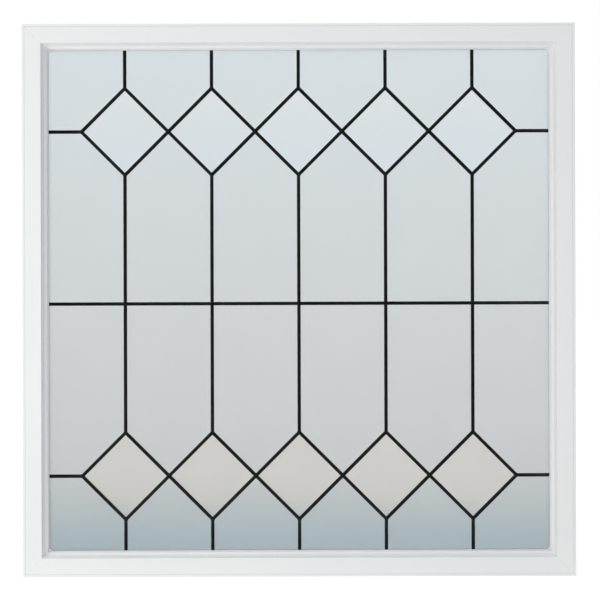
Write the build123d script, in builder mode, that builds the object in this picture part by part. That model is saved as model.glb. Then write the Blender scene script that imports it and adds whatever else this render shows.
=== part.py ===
# Square picture window with decorative leaded glass, in millimetres.
# A white hollow-section frame holds a sealed glass unit behind mitred glazing beads.
# Inside the unit a soldered came lattice carries ten diamonds and twenty-four plain lites.
# +Z is up, the room face looks towards -Y, and the origin is under the middle of the sill.

from build123d import *
import os

# Overall size
window_width = 901.7
window_height = 901.7
frame_depth = 82.6

# Every section below is drawn as (inward, back): inward from the outer edge of the window,
# and back from its room face. A third number is the radius of that corner.

# Frame section
face_width = 31.0
edge_radius = 0.8
face_line_place = 4.4
face_line_width = 0.5
face_line_depth = 0.15
nib_depth = 2.0
rebate_floor = 27.0
outer_wall = 2.0
web_wall = 1.5
web_places = (20.0, 38.0, 60.0)
groove_start = 5.8
groove_width = 2.6
groove_depth = 2.6
stop_height = 38.0
stop_land = 3.1
back_face_width = 32.5
mitre_groove = 0.5

# Drainage slots of the sill
weep_length = 28.0
weep_width = 5.0
pocket_weep_x = 340.0
pocket_weep_back = 42.7
outside_weep_x = 300.0
outside_weep_height = 6.0

# Fixing holes through the jambs, covered by the beads
fixing_hole_radius = 2.5
fixing_hole_spacing = 600.0
fixing_hole_back = 13.5

# Glazing bead section
bead_front = 2.3
bead_back = 18.2
bead_shoulder = (30.8, bead_front, 1.0)
bead_bend = (34.8, 12.2, 2.5)
bead_nose = (39.1, 12.7, 0.9)
bead_foot_back = 9.5
bead_underside = 31.5
bead_wall = 1.4
barb_clearance = 0.3

# Sealed glass unit
unit_edge = 30.5
unit_front = 20.0
pane_thickness = 3.2
air_space = 7.0
sealant_width = 3.0
spacer_inner_edge = 39.0
spacer_corner_radius = 6.0
gasket_outer_edge = 34.5
gasket_inner_edge = 38.6
gasket_lip = 0.8
tape_outer_edge = 31.5
tape_inner_edge = 37.6
tape_thickness = 1.5
setting_block_length = 100.0
packer_length = 60.0

# Came, the channelled strip that holds the lites
came_width = 5.0
came_edge_thickness = 0.4
came_crown_thickness = 0.9
heart_thickness = 1.2
lite_thickness = 3.2
lite_clearance = 0.3
border_came_web = 1.0
border_came_inner_edge = 38.0
border_came_radius = 0.7

# Pattern of the lattice
diamonds_per_row = 5
diamond_pitch = 143.1
row_distance = 283.7
pattern_drop = 5.8

# Depths worked out from the sizes above, back from the room face
came_front = unit_front + pane_thickness + air_space
came_back = came_front + lite_thickness + 2 * came_crown_thickness
came_middle = (came_front + came_back) / 2
back_pane_front = came_back + air_space
unit_back = back_pane_front + pane_thickness
stop_front = unit_back + tape_thickness

# Distances inward from the outer edge
spacer_outer_edge = unit_edge + sealant_width
border_line = spacer_outer_edge + border_came_web - heart_thickness / 2

# Lines of the pattern
half_width = window_width / 2
half_diagonal = diamond_pitch / 2
front_y = -frame_depth / 2
pattern_middle = window_height / 2 - pattern_drop
upper_row = pattern_middle + row_distance
lower_row = pattern_middle - row_distance
first_upright = -diamond_pitch * (diamonds_per_row - 1) / 2
uprights = [first_upright + diamond_pitch * i for i in range(diamonds_per_row)]
chain_end = uprights[-1] + half_diagonal

# The four sides, walked clockwise as seen from the room. Each plane stands on the corner
# where its side starts: x points inwards, y points back and the normal runs along the side.
low_right = (half_width, front_y, 0)
low_left = (-half_width, front_y, 0)
high_left = (-half_width, front_y, window_height)
high_right = (half_width, front_y, window_height)
side_planes = {
    "sill": Plane(low_right, x_dir=(0, 0, 1), z_dir=(-1, 0, 0)),
    "left_jamb": Plane(low_left, x_dir=(1, 0, 0), z_dir=(0, 0, 1)),
    "head": Plane(high_left, x_dir=(0, 0, -1), z_dir=(1, 0, 0)),
    "right_jamb": Plane(high_right, x_dir=(-1, 0, 0), z_dir=(0, 0, -1)),
}
side_lengths = {
    "sill": window_width,
    "left_jamb": window_height,
    "head": window_width,
    "right_jamb": window_height,
}


def save(piece, name):
    """Label a finished piece and write its file."""
    piece.part.label = name
    export_step(piece.part, f"parts/{name}.step")


def glass_plane(back):
    """Plane parallel to the glass and facing the room, at a depth behind the room face."""
    return Plane.XZ.offset(-front_y - back)


def lengthwise_plane(side, inward):
    """Plane on a side's middle, facing inwards: x points back and y runs along the side."""
    plane = side_planes[side]
    middle = plane.origin + plane.z_dir * side_lengths[side] / 2
    return Plane(middle + plane.x_dir * inward, x_dir=plane.y_dir, z_dir=plane.x_dir)


def draw_polygon(corners):
    """Face whose corners are (x, y) when sharp, or (x, y, radius) when rounded."""
    points = [corner[:2] for corner in corners]
    radii = [corner[2] if len(corner) == 3 else 0 for corner in corners]
    with BuildLine() as outline:
        FilletPolyline(*points, radius=radii, close=True)
    make_face(outline.edges())


def mitre_ends(side, groove=0):
    """Cut both ends at 45 degrees through the window's corners, with a bevel for a groove."""
    plane = side_planes[side]
    end_corner = plane.origin + plane.z_dir * side_lengths[side]
    for corner, along in ((plane.origin, plane.z_dir), (end_corner, -plane.z_dir)):
        kept_side = (along - plane.x_dir).normalized()
        split(bisect_by=Plane(corner, x_dir=plane.y_dir, z_dir=kept_side), keep=Keep.TOP)
        if groove:
            bevel = Plane(corner + kept_side * groove, z_dir=kept_side + plane.y_dir)
            split(bisect_by=bevel, keep=Keep.TOP)


# Frame members: a hollow extrusion with a rebate, a bead groove and an outside stop

bevel_front = stop_front + stop_land
bevel_slope = (stop_height - back_face_width) / (frame_depth - bevel_front)
groove_floor = rebate_floor - groove_depth
groove_back = groove_start + groove_width
floor_underside = rebate_floor - outer_wall
chamber_back = frame_depth - outer_wall


def draw_frame_outline():
    """Outline of the frame extrusion, from the room face with its fine line round to the outside face."""
    draw_polygon([
        (0, 0, edge_radius),
        (face_line_place, 0),
        (face_line_place, face_line_depth),
        (face_line_place + face_line_width, face_line_depth),
        (face_line_place + face_line_width, 0),
        (face_width, 0, edge_radius),
        (face_width, nib_depth),
        (rebate_floor, nib_depth),
        (rebate_floor, groove_start),
        (groove_floor, groove_start),
        (groove_floor, groove_back),
        (rebate_floor, groove_back),
        (rebate_floor, stop_front),
        (stop_height, stop_front, edge_radius),
        (stop_height, bevel_front, edge_radius),
        (back_face_width, frame_depth, edge_radius),
        (0, frame_depth, edge_radius),
    ])


def draw_front_chamber():
    """Chamber behind the room face, lower under the bead groove to keep its wall whole."""
    dip_back = groove_back + outer_wall
    draw_polygon([
        (outer_wall, outer_wall),
        (groove_floor - outer_wall, outer_wall),
        (groove_floor - outer_wall, dip_back),
        (floor_underside, dip_back),
        (floor_underside, web_places[0]),
        (outer_wall, web_places[0]),
    ])


def draw_plain_chamber(front, back):
    """Rectangular chamber under the rebate floor."""
    draw_polygon([
        (outer_wall, front),
        (floor_underside, front),
        (floor_underside, back),
        (outer_wall, back),
    ])


def draw_stop_chamber():
    """Chamber inside the outside stop, with its slope parallel to the bevel."""
    inner_height = stop_height - outer_wall
    draw_polygon([
        (rebate_floor, stop_front + outer_wall),
        (inner_height, stop_front + outer_wall),
        (inner_height, bevel_front),
        (inner_height - bevel_slope * (chamber_back - bevel_front), chamber_back),
        (rebate_floor, chamber_back),
    ])


def cut_weep_slots():
    """Slots that drain the glazing pocket into the rear chambers, and from there outside."""
    slot_y = front_y + pocket_weep_back
    with BuildSketch(Plane.XY.offset(rebate_floor)) as pocket_slots:
        with Locations((0, slot_y)):
            with GridLocations(2 * pocket_weep_x, 0, 2, 1):
                SlotOverall(weep_length, weep_width)
    extrude(pocket_slots.sketch, amount=-outer_wall, mode=Mode.SUBTRACT)
    with BuildSketch(glass_plane(frame_depth)) as outside_slots:
        with Locations((0, outside_weep_height)):
            with GridLocations(2 * outside_weep_x, 0, 2, 1):
                SlotOverall(weep_length, weep_width)
    extrude(outside_slots.sketch, amount=frame_depth - web_places[2], mode=Mode.SUBTRACT)


def cut_fixing_holes(side):
    """Two screw holes straight through a jamb, in front of the glass."""
    with BuildSketch(lengthwise_plane(side, 0)) as holes:
        with Locations((fixing_hole_back, 0)):
            with GridLocations(0, fixing_hole_spacing, 1, 2):
                Circle(fixing_hole_radius)
    extrude(holes.sketch, amount=rebate_floor, mode=Mode.SUBTRACT)


def build_frame_member(side):
    """One mitred length of the frame extrusion."""
    with BuildPart() as member:
        with BuildSketch(side_planes[side]):
            draw_frame_outline()
        extrude(amount=side_lengths[side])
        with BuildSketch(side_planes[side]):
            draw_front_chamber()
            draw_plain_chamber(web_places[0] + web_wall, web_places[1])
            draw_plain_chamber(web_places[1] + web_wall, web_places[2])
            draw_plain_chamber(web_places[2] + web_wall, chamber_back)
            draw_stop_chamber()
        extrude(amount=side_lengths[side], mode=Mode.SUBTRACT)
        mitre_ends(side, mitre_groove)
        if side == "sill":
            cut_weep_slots()
        if side in ("left_jamb", "right_jamb"):
            cut_fixing_holes(side)
    return member


# Glazing beads: a foot with a snap barb, a steep wall, a sloping land and a hollow nose


def draw_bead_outline():
    """Outline of the bead, from its foot over the shoulder and nose and back to the barb."""
    draw_polygon([
        (rebate_floor, bead_front),
        bead_shoulder,
        bead_bend,
        bead_nose,
        (bead_nose[0], bead_back),
        (bead_underside, bead_back),
        (bead_underside, bead_foot_back),
        (rebate_floor, bead_foot_back),
        (rebate_floor, groove_back - barb_clearance),
        (groove_floor + barb_clearance, groove_back - barb_clearance),
        (groove_floor + barb_clearance, groove_start + 2 * barb_clearance),
        (rebate_floor, groove_start + barb_clearance),
    ])


def draw_bead_chamber():
    """Hollow inside the nose: its front edge keeps one wall's distance from the land."""
    slope = (bead_nose[1] - bead_bend[1]) / (bead_nose[0] - bead_bend[0])
    inner_bend = bead_bend[1] + bead_wall * (1 + slope**2) ** 0.5
    low = bead_underside + bead_wall
    high = bead_nose[0] - bead_wall
    draw_polygon([
        (low, inner_bend + slope * (low - bead_bend[0])),
        (high, inner_bend + slope * (high - bead_bend[0])),
        (high, bead_back - bead_wall),
        (low, bead_back - bead_wall),
    ])


def build_bead(side):
    """One mitred glazing bead, snapped into the groove behind the nib."""
    with BuildPart() as bead:
        with BuildSketch(side_planes[side]):
            draw_bead_outline()
        extrude(amount=side_lengths[side])
        with BuildSketch(side_planes[side]):
            draw_bead_chamber()
        extrude(amount=side_lengths[side], mode=Mode.SUBTRACT)
        mitre_ends(side)
    return bead


# Sealed unit: panes, spacers, sealant, and the seals and blocks that hold it


def draw_ring(outer_edge, inner_edge):
    """Band round the window between two distances from its outer edge."""
    with Locations((0, window_height / 2)):
        Rectangle(window_width - 2 * outer_edge, window_height - 2 * outer_edge)
        hole_size = (window_width - 2 * inner_edge, window_height - 2 * inner_edge)
        Rectangle(*hole_size, mode=Mode.SUBTRACT)


def build_ring(outer_edge, inner_edge, front, back):
    """Square ring of rectangular section between two depths."""
    with BuildPart() as ring:
        with BuildSketch(glass_plane(back)):
            draw_ring(outer_edge, inner_edge)
        extrude(amount=back - front)
    return ring


def build_pane(front):
    """Clear outer pane of the unit."""
    with BuildPart() as pane:
        with BuildSketch(glass_plane(front + pane_thickness)):
            with Locations((0, window_height / 2)):
                Rectangle(window_width - 2 * unit_edge, window_height - 2 * unit_edge)
        extrude(amount=pane_thickness)
    return pane


def build_spacer(front):
    """Metal spacer bar, bent to a small radius at its inner corners."""
    with BuildPart() as spacer:
        with BuildSketch(glass_plane(front + air_space)) as band:
            draw_ring(spacer_outer_edge, spacer_inner_edge)
            inner_corners = band.vertices().sort_by_distance((0, window_height / 2))[:4]
            fillet(inner_corners, spacer_corner_radius)
        extrude(amount=air_space)
    return spacer


def build_bead_gasket():
    """Soft seal between the beads and the glass, with its inner front edge bevelled."""
    with BuildPart() as gasket:
        with BuildSketch(glass_plane(unit_front)):
            draw_ring(gasket_outer_edge, gasket_inner_edge)
        extrude(amount=unit_front - bead_back)
        front_edges = gasket.faces().sort_by(Axis.Y)[0].inner_wires()[0].edges()
        chamfer(front_edges, gasket_lip)
    return gasket


def build_supports(sides, length):
    """Two blocks on each named side, at its quarter points, between rebate and unit."""
    with BuildPart() as blocks:
        for side in sides:
            with BuildSketch(lengthwise_plane(side, rebate_floor)):
                with Locations(((unit_front + unit_back) / 2, 0)):
                    with GridLocations(0, side_lengths[side] / 2, 1, 2):
                        Rectangle(unit_back - unit_front, length)
            extrude(amount=unit_edge - rebate_floor)
    return blocks


# Came: a border channel round the panel and a lattice of double channels soldered inside it

leaf_inner = lite_thickness / 2
leaf_edge = leaf_inner + came_edge_thickness
leaf_crown = leaf_inner + came_crown_thickness
half_came = came_width / 2
half_heart = heart_thickness / 2


def draw_came_section():
    """Double channel: two leaves with crowned faces, joined by the heart between the lites."""
    with BuildLine() as outline:
        ThreePointArc((-half_came, leaf_edge), (0, leaf_crown), (half_came, leaf_edge))
        Polyline(
            (half_came, leaf_edge),
            (half_came, leaf_inner),
            (half_heart, leaf_inner),
            (half_heart, -leaf_inner),
            (half_came, -leaf_inner),
            (half_came, -leaf_edge),
        )
        ThreePointArc((half_came, -leaf_edge), (0, -leaf_crown), (-half_came, -leaf_edge))
        Polyline(
            (-half_came, -leaf_edge),
            (-half_came, -leaf_inner),
            (-half_heart, -leaf_inner),
            (-half_heart, leaf_inner),
            (-half_came, leaf_inner),
            (-half_came, leaf_edge),
        )
    make_face(outline.edges())


def add_strip(start, end):
    """Fuse one straight strip of came between two points (x, z) of the pattern."""
    along = Vector(end[0] - start[0], 0, end[1] - start[1])
    origin = (start[0], front_y + came_middle, start[1])
    with BuildSketch(Plane(origin, x_dir=along.cross(Vector(0, 1, 0)), z_dir=along)) as section:
        draw_came_section()
    extrude(section.sketch, amount=along.length)


def add_diamond(x, z):
    """Four strips round a square that stands on its point."""
    top = (x, z + half_diagonal)
    right = (x + half_diagonal, z)
    bottom = (x, z - half_diagonal)
    left = (x - half_diagonal, z)
    add_strip(left, top)
    add_strip(top, right)
    add_strip(right, bottom)
    add_strip(bottom, left)


def build_lattice():
    """Two rows of diamonds, the bar between them, the uprights and the stubs at the sides."""
    side_x = half_width - border_came_inner_edge
    top_z = window_height - border_came_inner_edge
    bottom_z = border_came_inner_edge
    with BuildPart() as lattice:
        for z in (upper_row, lower_row):
            for x in uprights:
                add_diamond(x, z)
            add_strip((-side_x, z), (-chain_end, z))
            add_strip((chain_end, z), (side_x, z))
        add_strip((-side_x, pattern_middle), (side_x, pattern_middle))
        for x in uprights:
            add_strip((x, upper_row + half_diagonal), (x, top_z))
            add_strip((x, lower_row + half_diagonal), (x, upper_row - half_diagonal))
            add_strip((x, bottom_z), (x, lower_row - half_diagonal))
    return lattice


def build_border_came(side):
    """Mitred length of single channel round the edge of the panel."""
    channel_floor = spacer_outer_edge + border_came_web
    with BuildPart() as border:
        with BuildSketch(side_planes[side]):
            draw_polygon([
                (spacer_outer_edge, came_front),
                (border_came_inner_edge, came_front, border_came_radius),
                (border_came_inner_edge, came_middle - leaf_inner),
                (channel_floor, came_middle - leaf_inner),
                (channel_floor, came_middle + leaf_inner),
                (border_came_inner_edge, came_middle + leaf_inner),
                (border_came_inner_edge, came_back, border_came_radius),
                (spacer_outer_edge, came_back),
            ])
        extrude(amount=side_lengths[side])
        mitre_ends(side)
    return border


# Lites: the pieces of obscure glass, cut to the came's centre lines less the heart


def diamond_corners(x, z):
    """Centre lines round a diamond."""
    return [
        (x, z + half_diagonal),
        (x + half_diagonal, z),
        (x, z - half_diagonal),
        (x - half_diagonal, z),
    ]


def band_corners(column, flat_z, row_z):
    """Centre lines round a lite between a straight line and a row of diamonds."""
    tip_z = row_z + half_diagonal if flat_z > row_z else row_z - half_diagonal
    side_x = half_width - border_line
    if column == 0:
        x = uprights[0]
        return [(-side_x, flat_z), (x, flat_z), (x, tip_z), (-chain_end, row_z), (-side_x, row_z)]
    if column == diamonds_per_row:
        x = uprights[-1]
        return [(side_x, flat_z), (x, flat_z), (x, tip_z), (chain_end, row_z), (side_x, row_z)]
    left, right = uprights[column - 1], uprights[column]
    valley = ((left + right) / 2, row_z)
    return [(left, flat_z), (right, flat_z), (right, tip_z), valley, (left, tip_z)]


def build_lite(corners):
    """One lite, held in the channels with a little clearance at its edges."""
    with BuildPart() as lite:
        with BuildSketch(glass_plane(came_middle + lite_thickness / 2)):
            draw_polygon(corners)
            offset(amount=-half_heart - lite_clearance, kind=Kind.INTERSECTION)
        extrude(amount=lite_thickness)
    return lite


# Write every piece

os.makedirs("parts", exist_ok=True)

for side_name in side_planes:
    save(build_frame_member(side_name), f"frame_{side_name}")
    save(build_bead(side_name), f"bead_{side_name}")
    save(build_border_came(side_name), f"border_came_{side_name}")

save(build_pane(unit_front), "front_pane")
save(build_pane(back_pane_front), "back_pane")
save(build_spacer(came_front - air_space), "front_spacer")
save(build_spacer(came_back), "back_spacer")
save(build_ring(unit_edge, spacer_outer_edge, unit_front + pane_thickness, back_pane_front), "edge_sealant")
save(build_bead_gasket(), "bead_gasket")
save(build_ring(tape_outer_edge, tape_inner_edge, unit_back, stop_front), "glazing_tape")
save(build_supports(["sill"], setting_block_length), "setting_blocks")
save(build_supports(["left_jamb", "head", "right_jamb"], packer_length), "edge_packers")
save(build_lattice(), "came_lattice")

for index, upright_x in enumerate(uprights, start=1):
    save(build_lite(diamond_corners(upright_x, upper_row)), f"upper_diamond_{index}")
    save(build_lite(diamond_corners(upright_x, lower_row)), f"lower_diamond_{index}")

bands = {
    "top_lite": (window_height - border_line, upper_row),
    "upper_lite": (pattern_middle, upper_row),
    "lower_lite": (pattern_middle, lower_row),
    "bottom_lite": (border_line, lower_row),
}
for band_name, (flat_height, row_height) in bands.items():
    for column_index in range(diamonds_per_row + 1):
        outline = band_corners(column_index, flat_height, row_height)
        save(build_lite(outline), f"{band_name}_{column_index + 1}")
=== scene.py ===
"""Decorative glass window: finishes, leaded came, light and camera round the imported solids. Metres, +Z up."""

import math

import bpy
import numpy as np
from mathutils import Matrix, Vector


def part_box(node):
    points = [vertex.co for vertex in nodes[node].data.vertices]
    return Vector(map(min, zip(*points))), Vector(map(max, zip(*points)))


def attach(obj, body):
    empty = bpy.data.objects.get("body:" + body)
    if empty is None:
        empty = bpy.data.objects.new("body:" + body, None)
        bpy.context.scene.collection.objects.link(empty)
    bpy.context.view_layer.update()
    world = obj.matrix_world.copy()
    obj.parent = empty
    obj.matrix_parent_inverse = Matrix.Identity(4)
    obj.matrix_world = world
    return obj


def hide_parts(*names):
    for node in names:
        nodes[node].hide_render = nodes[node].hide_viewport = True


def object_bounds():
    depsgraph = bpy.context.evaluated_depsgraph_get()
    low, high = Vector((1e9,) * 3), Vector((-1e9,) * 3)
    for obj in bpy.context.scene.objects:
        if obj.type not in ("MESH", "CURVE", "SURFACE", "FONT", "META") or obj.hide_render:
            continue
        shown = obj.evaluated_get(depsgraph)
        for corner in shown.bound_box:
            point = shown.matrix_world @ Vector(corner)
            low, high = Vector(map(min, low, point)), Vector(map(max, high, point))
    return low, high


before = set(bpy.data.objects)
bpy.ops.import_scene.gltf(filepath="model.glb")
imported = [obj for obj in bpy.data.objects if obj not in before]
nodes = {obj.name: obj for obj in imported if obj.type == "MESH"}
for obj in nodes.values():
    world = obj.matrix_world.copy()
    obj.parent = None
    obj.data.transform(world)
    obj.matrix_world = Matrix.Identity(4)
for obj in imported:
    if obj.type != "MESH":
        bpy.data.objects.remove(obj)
cad_low, cad_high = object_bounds()


# The leaded pattern, on the glass: x across, z up


def middle_of(node):
    """The middle of a CAD piece's box."""
    low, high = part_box(node)
    return (low + high) / 2


half_width = cad_high.x
window_height = cad_high.z
upper_row = middle_of("upper_diamond_3").z
lower_row = middle_of("lower_diamond_3").z
pattern_middle = (upper_row + lower_row) / 2
diamond_pitch = middle_of("upper_diamond_4").x - middle_of("upper_diamond_3").x
half_diagonal = diamond_pitch / 2
uprights = diamond_pitch * np.arange(-2, 3)
chain_end = uprights[-1] + half_diagonal

# Distances inwards from the window's outer edge

border_edge = 0.038
face_line_inset = 0.0042
lip_root = 0.0390
lip_reach = 0.0013

# The came's section, out from the middle of the lite

came_y = middle_of("upper_diamond_3").y
leaf_inner = 0.0016
leaf_edge = 0.0020
leaf_crown = 0.0025
half_came = 0.0025
half_heart = 0.0006
leaf_lip = 0.00018
heart_gap = 0.00002
solder_rise = 0.00125
solder_radius = 0.0030
solder_flow = 0.0014
solder_spread = 0.4
cement_width = 0.0003
cement_height = 0.00034
cement_overlap = 0.0001


# Meshes from arrays


def make_piece(name, points, faces, finish, slot):
    """Put arrays of points and faces into a mesh that rides on the window, with its place in the mesh."""
    mesh = bpy.data.meshes.new(name)
    mesh.from_pydata(points.tolist(), [], faces)
    mesh.validate()
    mesh.shade_smooth()
    mesh.materials.append(finish)
    piece = bpy.data.objects.new(name, mesh)
    bpy.context.scene.collection.objects.link(piece)
    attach(piece, "root")
    return piece


def ring_walls(stations, ring):
    """
    Quads between one closed ring of points and the next: i and i + 1 round the ring, j and j + 1 along
    the path.
    """
    j, i = np.meshgrid(np.arange(stations - 1), np.arange(ring), indexing="ij")
    here, beside = j * ring + i, j * ring + (i + 1) % ring
    quads = np.stack([here, beside, beside + ring, here + ring], axis=-1)
    return quads.reshape(-1, 4)


def join_parts(parts):
    """
    One array of points and one list of faces from several, each part's face numbers moved past the
    points before it.
    """
    starts = np.cumsum([0] + [len(points) for points, _ in parts])
    faces = []
    for start, (_, part_faces) in zip(starts, parts):
        faces += [[corner + start for corner in face] for face in part_faces]
    return np.concatenate([points for points, _ in parts]), faces


# Where the strips of came run and how their ends are cut


def list_strips():
    """Every straight run of came from joint to joint, as pairs of points (x, z)."""
    side_x = half_width - border_edge
    strips = []
    for z in (upper_row, lower_row):
        for x in uprights:
            top, right = (x, z + half_diagonal), (x + half_diagonal, z)
            bottom, left = (x, z - half_diagonal), (x - half_diagonal, z)
            strips += [(left, top), (top, right), (right, bottom), (bottom, left)]
        strips += [((-side_x, z), (-chain_end, z)), ((chain_end, z), (side_x, z))]
    bar = [-side_x, *uprights, side_x]
    strips += [((a, pattern_middle), (b, pattern_middle)) for a, b in zip(bar[:-1], bar[1:])]
    for x in uprights:
        strips += [
            ((x, upper_row + half_diagonal), (x, window_height - border_edge)),
            ((x, pattern_middle), (x, upper_row - half_diagonal)),
            ((x, lower_row + half_diagonal), (x, pattern_middle)),
            ((x, border_edge), (x, lower_row - half_diagonal)),
        ]
    return np.array(strips)


joint_steps = 1e4
least_turn = 1e-3


def joint_key(point):
    """A joint's name: its place to a tenth of a millimetre."""
    return tuple(np.round(point * joint_steps).astype(int))


def list_joints(strips):
    """For each joint, the directions in which strips leave it, as angles from +X towards +Z."""
    joints = {}
    for start, end in strips:
        dx, dz = end - start
        angle = math.atan2(dz, dx)
        joints.setdefault(joint_key(start), []).append(angle)
        joints.setdefault(joint_key(end), []).append(angle + math.pi)
    return joints


def mitre_slopes(angle, others):
    """
    Cut slopes on the left and right of a strip that leaves a joint: the cotangent of half the angle to
    its neighbour.
    """
    turns = [(other - angle) % (2 * math.pi) for other in others]
    turns = [turn for turn in turns if least_turn < turn < 2 * math.pi - least_turn]
    if not turns:
        return 0.0, 0.0
    left, right = min(turns), 2 * math.pi - max(turns)
    return 1 / math.tan(left / 2), 1 / math.tan(right / 2)


def carry_profile(profile, start, end, joints):
    """
    A profile of points (t, h), t to the strip's left and h towards the room, carried from start to end.
    Each point's run begins at |t| times the mitre slope of its side, and ends in the same way.
    """
    along = end - start
    length = np.hypot(*along)
    along = along / length
    left = np.array([-along[1], along[0]])
    angle = math.atan2(along[1], along[0])
    first_left, first_right = mitre_slopes(angle, joints[joint_key(start)])
    last_right, last_left = mitre_slopes(angle + math.pi, joints[joint_key(end)])
    t, h = profile[:, 0], profile[:, 1]
    first = np.where(t > 0, first_left, first_right) * np.abs(t)
    last = length - np.where(t > 0, last_left, last_right) * np.abs(t)
    run = np.stack([first, last])
    x = start[0] + along[0] * run + left[0] * t
    z = start[1] + along[1] * run + left[1] * t
    y = np.broadcast_to(came_y - h, run.shape)
    return np.stack([x, y, z], axis=-1).reshape(-1, 3)


# Came: two crowned leaves joined by the heart


def came_half_profile():
    """
    Right half of the section from the top of the crown down to the foot: the leaf falls as the square of
    its distance from the middle, and its lip is a quarter circle.
    """
    flat = half_came - leaf_lip
    t = np.linspace(0, flat, 7)
    h = leaf_crown - (leaf_crown - leaf_edge) * (t / half_came) ** 2
    turn = np.linspace(0, math.pi / 2, 4)[1:]
    lip = np.stack([flat + leaf_lip * np.sin(turn), h[-1] - leaf_lip * (1 - np.cos(turn))], axis=1)
    foot = [[half_came, leaf_inner], [half_heart, leaf_inner - heart_gap]]
    upper = np.concatenate([np.stack([t, h], axis=1), lip, foot])
    lower = upper[::-1] * [1, -1]
    return np.concatenate([upper, lower])


def came_profile():
    """The whole section as one ring that starts at the crown's middle. Its left half mirrors the right."""
    right = came_half_profile()
    left = right[1:-1][::-1] * [-1, 1]
    return np.concatenate([right, left])


def end_faces(ring, first):
    """Close one end of a mirrored ring: a triangle at top and foot, quads between mirrored pairs."""
    half = ring // 2
    k = np.arange(1, half - 1)
    quads = np.stack([k, k + 1, ring - k - 1, ring - k], axis=1) + first
    tips = [[first, first + 1, first + ring - 1], [first + half - 1, first + half, first + half + 1]]
    return tips + quads.tolist()


def build_came(strips, joints, finish):
    """Every strip of came, mitred into its neighbours."""
    profile = came_profile()
    ring = len(profile)
    walls = ring_walls(2, ring).tolist()
    near = end_faces(ring, 0)
    far = [face[::-1] for face in end_faces(ring, ring)]
    faces = walls + near + far
    parts = [(carry_profile(profile, start, end, joints), faces) for start, end in strips]
    return make_piece("came_leaves", *join_parts(parts), finish, "dark_came")


def cement_profiles():
    """Four thin fillets of cement where the leaves meet the lites: left and right, front and back."""
    inner, outer = half_came - cement_overlap, half_came + cement_width
    hollow = 0.35
    fillet = np.array([
        (inner, leaf_inner),
        (inner, leaf_inner + cement_height),
        (half_came + cement_width * hollow, leaf_inner + cement_height * hollow),
        (outer, leaf_inner),
    ])
    return [fillet, fillet * [-1, 1], fillet * [1, -1], fillet * [-1, -1]]


def build_cement(strips, joints, finish):
    """The line of cement along both sides of every strip."""
    parts = []
    for profile in cement_profiles():
        ring = len(profile)
        ends = [list(range(ring)), list(range(2 * ring - 1, ring - 1, -1))]
        faces = ring_walls(2, ring).tolist() + ends
        if profile[0, 0] * profile[0, 1] < 0:
            faces = [face[::-1] for face in faces]
        parts += [(carry_profile(profile, start, end, joints), faces) for start, end in strips]
    return make_piece("came_cement", *join_parts(parts), finish, "dark_came")


# Solder: a low mound on each joint that runs a little way along each strip


def solder_mound(place, angles, side):
    """
    Height over the leaf's foot is rise * (1 - r^4), r from 0 at the middle to 1 at the rim.
    The rim's distance is the radius plus a bump towards each strip: flow * exp(-(turn / spread)^2).
    """
    rings, spokes = 6, 32
    r = np.linspace(0, 1, rings + 1)[1:, None]
    a = np.linspace(0, 2 * math.pi, spokes, endpoint=False)[None, :]
    rim = solder_radius * np.ones_like(a)
    for angle in angles:
        turn = (a - angle + math.pi) % (2 * math.pi) - math.pi
        rim = rim + solder_flow * np.exp(-((turn / solder_spread) ** 2))
    height = leaf_inner + solder_rise * (1 - r**4) * np.ones_like(a)
    x = place[0] + r * rim * np.cos(a)
    z = place[1] + r * rim * np.sin(a)
    mound = np.stack([x, came_y - side * height, z], axis=-1).reshape(-1, 3)
    top = [place[0], came_y - side * (leaf_inner + solder_rise), place[1]]
    foot = [place[0], came_y - side * leaf_inner, place[1]]
    points = np.concatenate([mound, [top, foot]])
    i = np.arange(spokes)
    beside = (i + 1) % spokes
    crown = np.stack([np.full(spokes, len(mound)), i, beside], axis=1)
    last = (rings - 1) * spokes
    base = np.stack([np.full(spokes, len(mound) + 1), last + beside, last + i], axis=1)
    walls = ring_walls(rings, spokes)[:, ::-1]
    faces = crown.tolist() + walls.tolist() + base.tolist()
    return points, faces if side > 0 else [face[::-1] for face in faces]


def build_solder(joints, finish):
    """A mound on the front and the back of every joint where two strips or more meet."""
    parts = []
    for key, angles in joints.items():
        if len(angles) > 1:
            place = np.array(key) / joint_steps
            parts += [solder_mound(place, angles, side) for side in (1, -1)]
    return make_piece("came_solder", *join_parts(parts), finish, "dark_came")


# Finishes: tools for building shader nodes


def tint(red, green, blue):
    """A colour given as it looks on a screen, 0 to 255, as the shader's linear values."""
    steps = np.array([red, green, blue]) / 255
    linear = np.where(steps <= 0.04045, steps / 12.92, ((steps + 0.055) / 1.055) ** 2.4)
    return (*linear.tolist(), 1.0)


def open_group(name, inputs, outputs):
    """A node group with named sockets, given as name: (kind, value) and name: kind."""
    group = bpy.data.node_groups.new(name, "ShaderNodeTree")
    for socket, (kind, value) in inputs.items():
        made = group.interface.new_socket(socket, in_out="INPUT", socket_type=kind)
        if value is not None:
            made.default_value = value
    for socket, kind in outputs.items():
        group.interface.new_socket(socket, in_out="OUTPUT", socket_type=kind)
    return group, group.nodes.new("NodeGroupInput"), group.nodes.new("NodeGroupOutput")


def feed(tree, socket, value):
    """Give a socket a value or another node's output."""
    if isinstance(value, bpy.types.NodeSocket):
        tree.links.new(value, socket)
    else:
        socket.default_value = value


def add_node(tree, kind, inputs=None, **settings):
    """One node, its settings and its inputs, each a value or another node's output."""
    node = tree.nodes.new(kind)
    for name, value in settings.items():
        setattr(node, name, value)
    for name, value in (inputs or {}).items():
        feed(tree, node.inputs[name], value)
    return node


def scale_position(tree, position, scale, turn=(0, 0, 0)):
    """The position, turned and then drawn out along its axes."""
    inputs = {"Vector": position, "Rotation": turn, "Scale": scale}
    return add_node(tree, "ShaderNodeMapping", inputs).outputs["Vector"]


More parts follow.
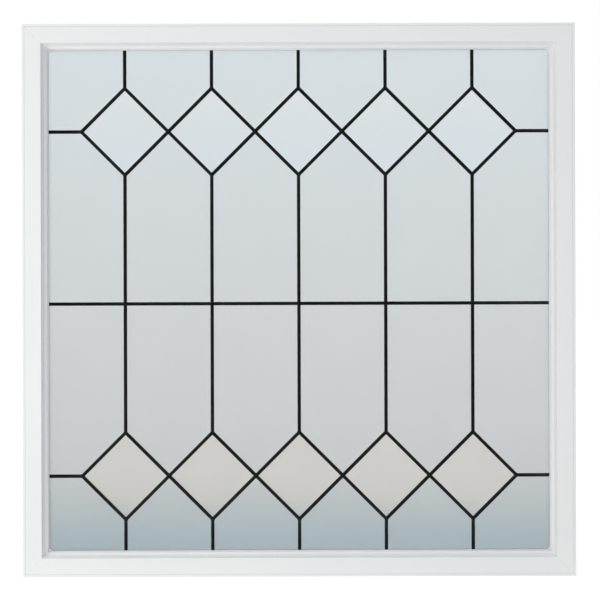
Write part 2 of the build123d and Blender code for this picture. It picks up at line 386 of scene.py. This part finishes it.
def add_noise(tree, position, scale, detail=2.0, roughness=0.5):
    """Soft noise, 0 to 1, that repeats about 'scale' times in a metre."""
    inputs = {"Vector": position, "Scale": scale, "Detail": detail, "Roughness": roughness}
    return add_node(tree, "ShaderNodeTexNoise", inputs).outputs["Fac"]


def add_range(tree, value, low, high, to_low, to_high):
    """The value moved from one range to another and held at its ends."""
    inputs = {"Value": value, "From Min": low, "From Max": high, "To Min": to_low, "To Max": to_high}
    return add_node(tree, "ShaderNodeMapRange", inputs).outputs["Result"]


def add_math(tree, operation, first, second):
    """One sum of two numbers."""
    node = add_node(tree, "ShaderNodeMath", operation=operation)
    feed(tree, node.inputs[0], first)
    feed(tree, node.inputs[1], second)
    return node.outputs[0]


def split_axes(tree, vector):
    """The three outputs X, Y and Z of a vector."""
    return add_node(tree, "ShaderNodeSeparateXYZ", {"Vector": vector}).outputs


def mix_colours(tree, share, first, second, blend="MIX"):
    """Two colours mixed by a share from 0 to 1."""
    node = add_node(tree, "ShaderNodeMix", data_type="RGBA", blend_type=blend)
    for number, value in ((0, share), (6, first), (7, second)):
        feed(tree, node.inputs[number], value)
    return node.outputs[2]


def close_group(group, made, results):
    """Lead the results to the group's outputs."""
    for name, value in results.items():
        group.links.new(value, made.inputs[name])
    return group


def choose_by_ray(tree, surface, looks):
    """The surface that soft light meets, and another look for each named kind of ray."""
    path = tree.nodes.new("ShaderNodeLightPath")
    for ray, look in looks:
        mixed = tree.nodes.new("ShaderNodeMixShader")
        tree.links.new(path.outputs[ray], mixed.inputs[0])
        tree.links.new(surface.outputs[0], mixed.inputs[1])
        tree.links.new(look.outputs[0], mixed.inputs[2])
        surface = mixed
    return surface


# Effects that several finishes share

wash_stages = ("Foot", "Low", "Middle", "Top")
# Grey of the painted shade along the vinyl face's fine line
line_shade_grey = (0.1, 0.1, 0.11, 1)


def make_extruded_skin():
    """
    Skin of extruded vinyl: die lines along X, fine grain, a tone that drifts slowly, and painted shade
    along the face's fine line.
    """
    group, given, made = open_group(
        "extruded_skin",
        {
            "Position": ("NodeSocketVector", None),
            "Colour": ("NodeSocketColor", (1, 1, 1, 1)),
            "Shade Colour": ("NodeSocketColor", (1, 1, 1, 1)),
            "Line Shade": ("NodeSocketFloat", 0.16),
            "Place": ("NodeSocketVector", None),
            "Roughness": ("NodeSocketFloat", 0.4),
        },
        {"Colour": "NodeSocketColor", "Roughness": "NodeSocketFloat", "Height": "NodeSocketFloat"},
    )
    drawn_out = scale_position(group, given.outputs["Position"], (1.2, 420, 420))
    lines = add_noise(group, drawn_out, 1.0, 3.0)
    grain = add_noise(group, given.outputs["Position"], 2600.0, 2.0)
    drift = add_noise(group, given.outputs["Position"], 5.0, 2.0)
    tone = add_range(group, add_math(group, "ADD", drift, lines), 0.7, 1.3, 0.0, 1.0)
    colour = mix_colours(group, tone, given.outputs["Colour"], given.outputs["Shade Colour"])
    # Painted shade: a fine darker line on the face, face_line_inset in from the outer edge, as strong as Line
    # Shade.
    place = split_axes(group, given.outputs["Place"])
    aside = add_math(group, "ABSOLUTE", place["X"], 0.0)
    from_middle = add_math(group, "SUBTRACT", place["Z"], window_height / 2)
    aloft = add_math(group, "ABSOLUTE", from_middle, 0.0)
    outwards = add_math(group, "MAXIMUM", aside, aloft)
    off_line = add_math(group, "SUBTRACT", outwards, half_width - face_line_inset)
    on_shade_line = add_range(group, add_math(group, "ABSOLUTE", off_line, 0.0), 0.0003, 0.0009, 1.0, 0.0)
    line_shade_share = add_math(group, "MULTIPLY", on_shade_line, given.outputs["Line Shade"])
    colour = mix_colours(group, line_shade_share, colour, line_shade_grey)
    gloss_change = add_range(group, lines, 0.3, 0.7, 0.9, 1.1)
    sheen = add_math(group, "MULTIPLY", given.outputs["Roughness"], gloss_change)
    line_height = add_math(group, "MULTIPLY", lines, 0.7)
    height = add_math(group, "ADD", line_height, add_math(group, "MULTIPLY", grain, 0.3))
    return close_group(group, made, {"Colour": colour, "Roughness": sheen, "Height": height})


def make_painted_light_wash():
    """Painted light of ground and sky behind the glass: a colour that runs between four tints by height."""
    group, given, made = open_group(
        "painted_light_wash",
        {
            "Position": ("NodeSocketVector", None),
            "Foot Tint": ("NodeSocketColor", (1, 1, 1, 1)),
            "Low Tint": ("NodeSocketColor", (1, 1, 1, 1)),
            "Middle Tint": ("NodeSocketColor", (1, 1, 1, 1)),
            "Top Tint": ("NodeSocketColor", (1, 1, 1, 1)),
            "Foot Height": ("NodeSocketFloat", 0.0),
            "Low Height": ("NodeSocketFloat", 0.2),
            "Middle Height": ("NodeSocketFloat", 0.5),
            "Top Height": ("NodeSocketFloat", 0.9),
        },
        {"Colour": "NodeSocketColor"},
    )
    height = split_axes(group, given.outputs["Position"])["Z"]
    colour = given.outputs["Foot Tint"]
    for below, above in zip(wash_stages, wash_stages[1:]):
        from_height, to_height = given.outputs[f"{below} Height"], given.outputs[f"{above} Height"]
        share = add_range(group, height, from_height, to_height, 0.0, 1.0)
        colour = mix_colours(group, share, colour, given.outputs[f"{above} Tint"])
    return close_group(group, made, {"Colour": colour})


def make_cast_glass():
    """
    Obscure glass: clouds and fine specks in the colour, ripples in the surface, and a back face that is
    etched.
    """
    group, given, made = open_group(
        "cast_glass",
        {
            "Position": ("NodeSocketVector", None),
            "Colour": ("NodeSocketColor", (1, 1, 1, 1)),
            "Cloud": ("NodeSocketFloat", 0.02),
            "Cloud Scale": ("NodeSocketFloat", 30.0),
            "Speck": ("NodeSocketFloat", 0.01),
            "Etched Roughness": ("NodeSocketFloat", 0.3),
        },
        {"Colour": "NodeSocketColor", "Roughness": "NodeSocketFloat", "Height": "NodeSocketFloat"},
    )
    position = given.outputs["Position"]
    clouds = add_noise(group, position, given.outputs["Cloud Scale"], 3.0, 0.55)
    specks = add_noise(group, position, 900.0, 2.0)
    changes = []
    for noise, strength in ((clouds, "Cloud"), (specks, "Speck")):
        centred = add_range(group, noise, 0.25, 0.75, -1.0, 1.0)
        changes.append(add_math(group, "MULTIPLY", centred, given.outputs[strength]))
    tone = add_math(group, "ADD", add_math(group, "ADD", *changes), 1.0)
    grey = add_node(group, "ShaderNodeCombineColor", {"Red": tone, "Green": tone, "Blue": tone})
    colour = mix_colours(group, 1.0, given.outputs["Colour"], grey.outputs["Color"], "MULTIPLY")
    depth = split_axes(group, position)["Y"]
    etched = add_range(group, depth, came_y - 0.0005, came_y + 0.0005, 0.0, 1.0)
    etching = add_math(group, "MULTIPLY", etched, given.outputs["Etched Roughness"])
    roughness = add_math(group, "ADD", etching, 0.04)
    ripples = add_noise(group, position, 160.0, 2.0)
    return close_group(group, made, {"Colour": colour, "Roughness": roughness, "Height": ripples})


def make_patina():
    """Patina on metal or rubber: blotches between two tones, and fine pits."""
    group, given, made = open_group(
        "patina",
        {
            "Position": ("NodeSocketVector", None),
            "Dark": ("NodeSocketColor", (0, 0, 0, 1)),
            "Light": ("NodeSocketColor", (1, 1, 1, 1)),
            "Blotch Scale": ("NodeSocketFloat", 120.0),
            "Roughness": ("NodeSocketFloat", 0.5),
        },
        {"Colour": "NodeSocketColor", "Roughness": "NodeSocketFloat", "Height": "NodeSocketFloat"},
    )
    position = given.outputs["Position"]
    blotches = add_noise(group, position, given.outputs["Blotch Scale"], 4.0, 0.6)
    pits = add_noise(group, position, 1800.0, 2.0)
    share = add_range(group, blotches, 0.35, 0.7, 0.0, 1.0)
    colour = mix_colours(group, share, given.outputs["Dark"], given.outputs["Light"])
    pitting = add_range(group, pits, 0.3, 0.7, -0.06, 0.06)
    roughness = add_math(group, "ADD", given.outputs["Roughness"], pitting)
    pit_height = add_math(group, "MULTIPLY", pits, 0.6)
    height = add_math(group, "ADD", pit_height, add_math(group, "MULTIPLY", blotches, 0.4))
    return close_group(group, made, {"Colour": colour, "Roughness": roughness, "Height": height})


extruded_skin = make_extruded_skin()
painted_light_wash = make_painted_light_wash()
cast_glass = make_cast_glass()
patina = make_patina()


# Finishes

glass_index = 1.45

# What shadows and soft light keep of their colour behind each glass

obscure_clear_tint = (0.6, 0.62, 0.63, 1)
float_clear_tint = (0.94, 0.95, 0.95, 1)


def open_finish(name):
    """An empty material with its output, and the position on the piece."""
    finish = bpy.data.materials.new(name)
    finish.use_nodes = True
    tree = finish.node_tree
    tree.nodes.clear()
    output = tree.nodes.new("ShaderNodeOutputMaterial")
    position = tree.nodes.new("ShaderNodeTexCoord").outputs["Object"]
    return finish, tree, output, position


def use_group(tree, group, inputs):
    """One of the shared effects with its own values."""
    return add_node(tree, "ShaderNodeGroup", inputs, node_tree=group)


def add_bump(tree, height, distance, strength=1.0):
    """The height as a bump of that many metres."""
    inputs = {"Height": height, "Distance": distance, "Strength": strength}
    return add_node(tree, "ShaderNodeBump", inputs).outputs["Normal"]


def coat_with(tree, output, inputs):
    """A principled shader with these inputs, on the surface."""
    shader = add_node(tree, "ShaderNodeBsdfPrincipled", inputs)
    tree.links.new(shader.outputs["BSDF"], output.inputs["Surface"])


def make_vinyl(name, colour, shade_colour, roughness, turn=(0, 0, 0)):
    """White vinyl with its die lines along X, or turned to run another way."""
    finish, tree, output, position = open_finish(name)
    skin = use_group(tree, extruded_skin, {
        "Position": scale_position(tree, position, (1, 1, 1), turn),
        "Colour": colour,
        "Shade Colour": shade_colour,
        "Place": position,
        "Roughness": roughness,
    })
    coat_with(tree, output, {
        "Base Color": skin.outputs["Colour"],
        "Roughness": skin.outputs["Roughness"],
        "Normal": add_bump(tree, skin.outputs["Height"], 0.00002, 0.5),
    })
    return finish


def make_patinated(name, dark, light, blotch_scale, roughness, metallic, bump, painted_stray_light=0.0):
    """
    Metal or rubber under the shared patina, with a painted glow that stands in for the stray light
    that frosted glass throws on it from close by.
    """
    finish, tree, output, position = open_finish(name)
    coat = use_group(tree, patina, {
        "Position": position,
        "Dark": dark,
        "Light": light,
        "Blotch Scale": blotch_scale,
        "Roughness": roughness,
    })
    coat_with(tree, output, {
        "Base Color": coat.outputs["Colour"],
        "Roughness": coat.outputs["Roughness"],
        "Metallic": metallic,
        "Normal": add_bump(tree, coat.outputs["Height"], bump),
        # Painted light: a white glow in place of the stray light from the frosted glass.
        "Emission Color": (1, 1, 1, 1),
        "Emission Strength": painted_stray_light,
    })
    return finish


def show_glass(tree, glass, clear_tint, output):
    """
    Glass to the eye and to rays that come through glass; to shadows and soft light, a clear sheet of
    that tint.
    """
    path = tree.nodes.new("ShaderNodeLightPath")
    seen = add_math(tree, "MAXIMUM", path.outputs["Is Camera Ray"], path.outputs["Is Transmission Ray"])
    clear = add_node(tree, "ShaderNodeBsdfTransparent", {"Color": clear_tint})
    mixed = tree.nodes.new("ShaderNodeMixShader")
    tree.links.new(seen, mixed.inputs[0])
    tree.links.new(clear.outputs[0], mixed.inputs[1])
    tree.links.new(glass.outputs["BSDF"], mixed.inputs[2])
    tree.links.new(mixed.outputs[0], output.inputs["Surface"])


def make_obscure_glass(name, tints, heights, cloud, cloud_scale, speck):
    """Etched glass of one lite: a painted wash of light by height under clouds, ripples and etching."""
    finish, tree, output, position = open_finish(name)
    wash_inputs = {"Position": position}
    for stage, colour, height in zip(wash_stages, tints, heights):
        wash_inputs[f"{stage} Tint"] = colour
        wash_inputs[f"{stage} Height"] = height
    wash = use_group(tree, painted_light_wash, wash_inputs)
    cast = use_group(tree, cast_glass, {
        "Position": position,
        "Colour": wash.outputs["Colour"],
        "Cloud": cloud,
        "Cloud Scale": cloud_scale,
        "Speck": speck,
    })
    shader = add_node(tree, "ShaderNodeBsdfPrincipled", {
        "Base Color": cast.outputs["Colour"],
        "Roughness": cast.outputs["Roughness"],
        "Normal": add_bump(tree, cast.outputs["Height"], 0.00012),
        "Transmission Weight": 1.0,
        "IOR": glass_index,
    })
    show_glass(tree, shader, obscure_clear_tint, output)
    return finish


def make_clear_glass():
    """Float glass: almost no colour, with a faint bloom of dust that comes and goes."""
    finish, tree, output, position = open_finish("clear_glass")
    bloom = add_noise(tree, position, 9.0, 4.0, 0.6)
    share = add_range(tree, bloom, 0.3, 0.7, 0.0, 1.0)
    shader = add_node(tree, "ShaderNodeBsdfPrincipled", {
        "Base Color": mix_colours(tree, share, (0.995, 1.0, 1.0, 1), (0.985, 0.992, 0.994, 1)),
        "Roughness": add_range(tree, bloom, 0.45, 0.8, 0.0, 0.012),
        "Transmission Weight": 1.0,
        "IOR": glass_index,
    })
    show_glass(tree, shader, float_clear_tint, output)
    return finish


quarter_turn = (0, math.pi / 2, 0)
vinyl_white = tint(242, 242, 242)
vinyl_shade = tint(239, 240, 241)
frame_roughness, bead_roughness = 0.42, 0.36

level_vinyl = make_vinyl("frame_vinyl_level", vinyl_white, vinyl_shade, frame_roughness)
upright_vinyl = make_vinyl("frame_vinyl_upright", vinyl_white, vinyl_shade, frame_roughness, quarter_turn)
level_bead_vinyl = make_vinyl("bead_vinyl_level", vinyl_white, vinyl_shade, bead_roughness)
upright_bead_vinyl = make_vinyl("bead_vinyl_upright", vinyl_white, vinyl_shade, bead_roughness, quarter_turn)

patina_black = (0.004, 0.0045, 0.0055, 1)
worn_came, worn_solder = (0.012, 0.013, 0.015, 1), (0.016, 0.017, 0.019, 1)
wet_cement, dry_cement = (0.01, 0.011, 0.012, 1), (0.028, 0.029, 0.03, 1)
seal_shade, seal_pale = tint(236, 237, 238), tint(243, 244, 245)
bar_shade, bar_pale = tint(236, 238, 239), tint(246, 247, 248)
rubber_dark, rubber_pale = tint(42, 44, 48), tint(60, 62, 66)

# Dark tone, light tone, blotches a metre, roughness, metallic, bump and painted stray light (a glow)

dark_came = make_patinated("dark_came", patina_black, worn_came, 140.0, 0.55, 0.25, 0.00003)
dark_solder = make_patinated("dark_solder", patina_black, worn_solder, 420.0, 0.42, 0.35, 0.00002)
dark_cement = make_patinated("dark_cement", wet_cement, dry_cement, 900.0, 0.85, 0.0, 0.00006)
# The spacer glows with painted stray light.
spacer_metal = make_patinated("spacer_metal", bar_shade, bar_pale, 60.0, 0.5, 0.0, 0.00001, 0.3)
black_sealant = make_patinated("black_sealant", tint(20, 20, 22), tint(36, 36, 38), 300.0, 0.7, 0.0, 0.0001)
grey_seal = make_patinated("grey_seal", seal_shade, seal_pale, 200.0, 0.6, 0.0, 0.00002)
support_rubber = make_patinated("support_rubber", rubber_dark, rubber_pale, 220.0, 0.65, 0.0, 0.00005)
clear_glass = make_clear_glass()

# The tints are painted light: ground and sky seen through the glass, by height.
# Tints from foot to top, their heights, then the clouds' strength and scale and the specks' strength

obscure_glass = make_obscure_glass(
    "obscure_glass",
    (tint(187, 201, 206), tint(220, 221, 222), tint(226, 228, 228), tint(239, 246, 250)),
    (0.055, 0.165, 0.25, 0.84), 0.006, 14.0, 0.004,
)
upper_diamond_glass = make_obscure_glass(
    "upper_diamond_glass",
    (tint(236, 245, 248), tint(238, 246, 251), tint(240, 247, 251), tint(244, 249, 252)),
    (0.655, 0.70, 0.735, 0.78), 0.012, 55.0, 0.008,
)
lower_diamond_glass = make_obscure_glass(
    "lower_diamond_glass",
    (tint(209, 213, 215), tint(223, 221, 216), tint(228, 226, 222), tint(229, 227, 223)),
    (0.10, 0.125, 0.165, 0.21), 0.012, 40.0, 0.008,
)


def dress(names, finish):
    """Give CAD pieces their finish."""
    for name in names:
        materials = nodes[name].data.materials
        materials.clear()
        materials.append(finish)


def named(*parts):
    """The CAD pieces whose names hold one of these words."""
    return [name for name in nodes if any(part in name for part in parts)]


dress(["frame_sill", "frame_head"], level_vinyl)
dress(["frame_left_jamb", "frame_right_jamb"], upright_vinyl)
dress(["bead_sill", "bead_head"], level_bead_vinyl)
dress(["bead_left_jamb", "bead_right_jamb"], upright_bead_vinyl)
dress(named("border_came"), dark_came)
dress(["front_pane", "back_pane"], clear_glass)
dress(["front_spacer", "back_spacer"], spacer_metal)
dress(["edge_sealant"], black_sealant)
dress(["glazing_tape"], grey_seal)
dress(["setting_blocks", "edge_packers"], support_rubber)
dress(named("_lite_"), obscure_glass)
dress(named("upper_diamond"), upper_diamond_glass)
dress(named("lower_diamond"), lower_diamond_glass)

strips = list_strips()
joints = list_joints(strips)
came_leaves = build_came(strips, joints, dark_came)
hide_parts("came_lattice")
build_cement(strips, joints, dark_cement)
build_solder(joints, dark_solder)


# Gasket under the beads


def build_gasket(finish):
    """
    Seal between beads and pane. Its section runs along the pane, and its lip bulges inwards past the
    beads as a quarter ellipse: inset root + reach sin a, depth front + thickness (1 - cos a), for a from
    0 to a right angle.
    """
    low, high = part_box("bead_gasket")
    a = np.linspace(0, math.pi / 2, 9)
    lip_depth = low.y + (high.y - low.y) * (1 - np.cos(a))
    lip = np.stack([lip_root + lip_reach * np.sin(a), lip_depth], axis=1)
    outer = half_width - high.x
    section = np.concatenate([lip, [[outer, high.y], [outer, low.y]]])
    inset, depth = section[None, :, 0], section[:, 1]
    corner_x, corner_z = np.array([-1, 1, 1, -1])[:, None], np.array([-1, -1, 1, 1])[:, None]
    across = corner_x * (half_width - inset)
    aloft = window_height / 2 + corner_z * (window_height / 2 - inset)
    points = np.stack([across, np.broadcast_to(depth, across.shape), aloft], axis=-1).reshape(-1, 3)
    corners = len(corner_x)
    quads = ring_walls(corners + 1, len(section)) % len(points)
    gasket = make_piece("soft_gasket", points, quads.tolist(), finish, "grey_seal")
    gasket.data.shade_flat()
    return gasket


soft_gasket = build_gasket(grey_seal)
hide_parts("bead_gasket")


# Stage: a pale floor that keeps the window's shadow

# Levels and colours of light, where 1 is white

dim_room = 0.03
room_light = 0.25
light_behind = 0.12
overhead_light = 1.3
floor_glow = 0.23
seen_floor_tone = (0.28, 0.28, 0.28, 1)
seen_floor_glow = 0.86
mirrored_floor = 0.9
soft_light_colour = (0.985, 1.0, 1.005, 1)

# Where the mirrored floor turns from dim to white, in front of the window

mirror_far, mirror_near = -0.32, -0.12


def add_glowing_diffuse(tree, colour, strength):
    """A matt surface of that colour with a white glow added."""
    matt = add_node(tree, "ShaderNodeBsdfDiffuse", {"Color": colour})
    glow = add_node(tree, "ShaderNodeEmission", {"Color": (1, 1, 1, 1), "Strength": strength})
    both = tree.nodes.new("ShaderNodeAddShader")
    tree.links.new(matt.outputs[0], both.inputs[0])
    tree.links.new(glow.outputs[0], both.inputs[1])
    return both


def make_floor_finish():
    """
    To the eye a white floor with a soft shadow on it, and plain white through glass. In a mirror it is
    white from close in front of the window backwards, and dim farther off. To the soft light it is a
    plain pale floor with a glow of its own.
    """
    finish, tree, output, position = open_finish("floor_white")
    mottle = add_range(tree, add_noise(tree, position, 3.0), 0.3, 0.7, 0.0, 1.0)
    floor_colour = mix_colours(tree, mottle, tint(226, 228, 230), tint(230, 231, 232))
    seen_floor = add_glowing_diffuse(tree, seen_floor_tone, seen_floor_glow)
    pale_floor = add_glowing_diffuse(tree, floor_colour, floor_glow)
    backwards = split_axes(tree, position)["Y"]
    mirror_level = add_range(tree, backwards, mirror_far, mirror_near, dim_room, mirrored_floor)
    mirrored = add_node(tree, "ShaderNodeEmission", {"Strength": mirror_level})
    through_glass = add_node(tree, "ShaderNodeEmission", {"Strength": 1.0})
    surface = choose_by_ray(tree, pale_floor, (
        ("Is Camera Ray", seen_floor),
        ("Is Glossy Ray", mirrored),
        ("Is Transmission Ray", through_glass),
    ))
    tree.links.new(surface.outputs[0], output.inputs["Surface"])
    return finish


def build_floor(radius):
    """A round floor: rings at distances radius * s^2 for s from 0 to 1, all at height 0."""
    rings, spokes = 8, 48
    r = radius * np.linspace(0, 1, rings + 1)[1:, None] ** 2
    a = np.linspace(0, 2 * math.pi, spokes, endpoint=False)[None, :]
    points = np.stack([r * np.cos(a), r * np.sin(a), np.zeros_like(r * a)], axis=-1).reshape(-1, 3)
    points = np.concatenate([points, [[0, 0, 0]]])
    i = np.arange(spokes)
    middle = np.stack([np.full(spokes, len(points) - 1), i, (i + 1) % spokes], axis=1)
    faces = ring_walls(rings, spokes)[:, ::-1].tolist() + middle.tolist()
    mesh = bpy.data.meshes.new("floor")
    mesh.from_pydata(points.tolist(), [], faces)
    mesh.materials.append(make_floor_finish())
    floor = bpy.data.objects.new("floor", mesh)
    bpy.context.scene.collection.objects.link(floor)


build_floor(40.0)


# Light


def build_world():
    """
    Soft light from the room in front, and most of it from overhead. The eye, and rays through glass, see
    plain white; mirrored rays see white behind the window and a dim room in front of it.
    """
    world = bpy.data.worlds.new("studio")
    bpy.context.scene.world = world
    world.use_nodes = True
    tree = world.node_tree
    tree.nodes.clear()
    lean = split_axes(tree, tree.nodes.new("ShaderNodeTexCoord").outputs["Generated"])
    upwards = add_math(tree, "MAXIMUM", lean["Z"], 0.0)
    steepness = add_math(tree, "MULTIPLY", upwards, upwards)
    overhead = add_math(tree, "MULTIPLY", steepness, overhead_light)
    around = add_range(tree, lean["Y"], -0.1, 0.1, room_light, light_behind)
    level = add_math(tree, "ADD", overhead, around)
    mirror_level = add_range(tree, lean["Y"], -0.35, 0.25, dim_room, 1.0)
    soft, mirrored, plain = [
        add_node(tree, "ShaderNodeBackground", {"Color": colour, "Strength": strength})
        for colour, strength in (
            (soft_light_colour, level),
            ((1, 1, 1, 1), mirror_level),
            ((1, 1, 1, 1), 1.0),
        )
    ]
    surface = choose_by_ray(tree, soft, (
        ("Is Camera Ray", plain),
        ("Is Glossy Ray", mirrored),
        ("Is Transmission Ray", plain),
    ))
    output = tree.nodes.new("ShaderNodeOutputWorld")
    tree.links.new(surface.outputs[0], output.inputs["Surface"])
    world.cycles.sampling_method = "NONE"


def turn_towards(place, target, roll=0.0):
    """Matrix of a lamp or camera at place that looks at target, with its up near +Z, turned by roll."""
    place, target = np.array(place, float), np.array(target, float)
    back = place - target
    back /= np.linalg.norm(back)
    right = np.cross([0, 0, 1], back)
    right /= np.linalg.norm(right)
    up = np.cross(back, right)
    rolled_right = right * math.cos(roll) + up * math.sin(roll)
    rolled_up = up * math.cos(roll) - right * math.sin(roll)
    matrix = np.eye(4)
    matrix[:3, :3] = np.stack([rolled_right, rolled_up, back], axis=1)
    matrix[:3, 3] = place
    return Matrix(matrix.tolist())


def add_softbox(name, place, target, width, height, power, colour, mirrored=True):
    """
    A soft lamp that the eye doesn't see, straight or through glass. Where mirrored is False, no mirror
    image of it shows either.
    """
    lamp = bpy.data.lights.new(name, "AREA")
    lamp.shape = "RECTANGLE"
    lamp.size = width
    lamp.size_y = height
    lamp.energy = power
    lamp.color = colour
    softbox = bpy.data.objects.new(name, lamp)
    softbox.visible_camera = False
    softbox.visible_glossy = mirrored
    softbox.visible_transmission = False
    softbox.matrix_world = turn_towards(place, target)
    bpy.context.scene.collection.objects.link(softbox)


build_world()
add_softbox("key_softbox", (-2.3, -2.1, 0.6), (0, 0, 0.45), 0.7, 1.0, 24, (1.0, 0.96, 0.92))
low_place, low_target = (-0.1, -0.7, 0.03), (-0.1, 0, 0.3)
add_softbox("low_softbox", low_place, low_target, 1.0, 0.12, 0.66, (1.0, 1.0, 1.0), mirrored=False)


# Camera


def build_camera():
    """Straight in front of the window, as the photograph has it, and rolled by a sixth of a degree."""
    place = (0.0018, -2.6413, 0.447)
    pitch, roll = 0.0014, -0.0030
    camera = bpy.data.cameras.new("camera")
    camera.sensor_width = 36.0
    camera.lens = 95.75
    viewer = bpy.data.objects.new("camera", camera)
    target = (place[0], place[1] + math.cos(pitch), place[2] + math.sin(pitch))
    viewer.matrix_world = turn_towards(place, target, roll)
    bpy.context.scene.collection.objects.link(viewer)
    bpy.context.scene.camera = viewer


build_camera()
bpy.context.scene.view_settings.view_transform = "Standard"
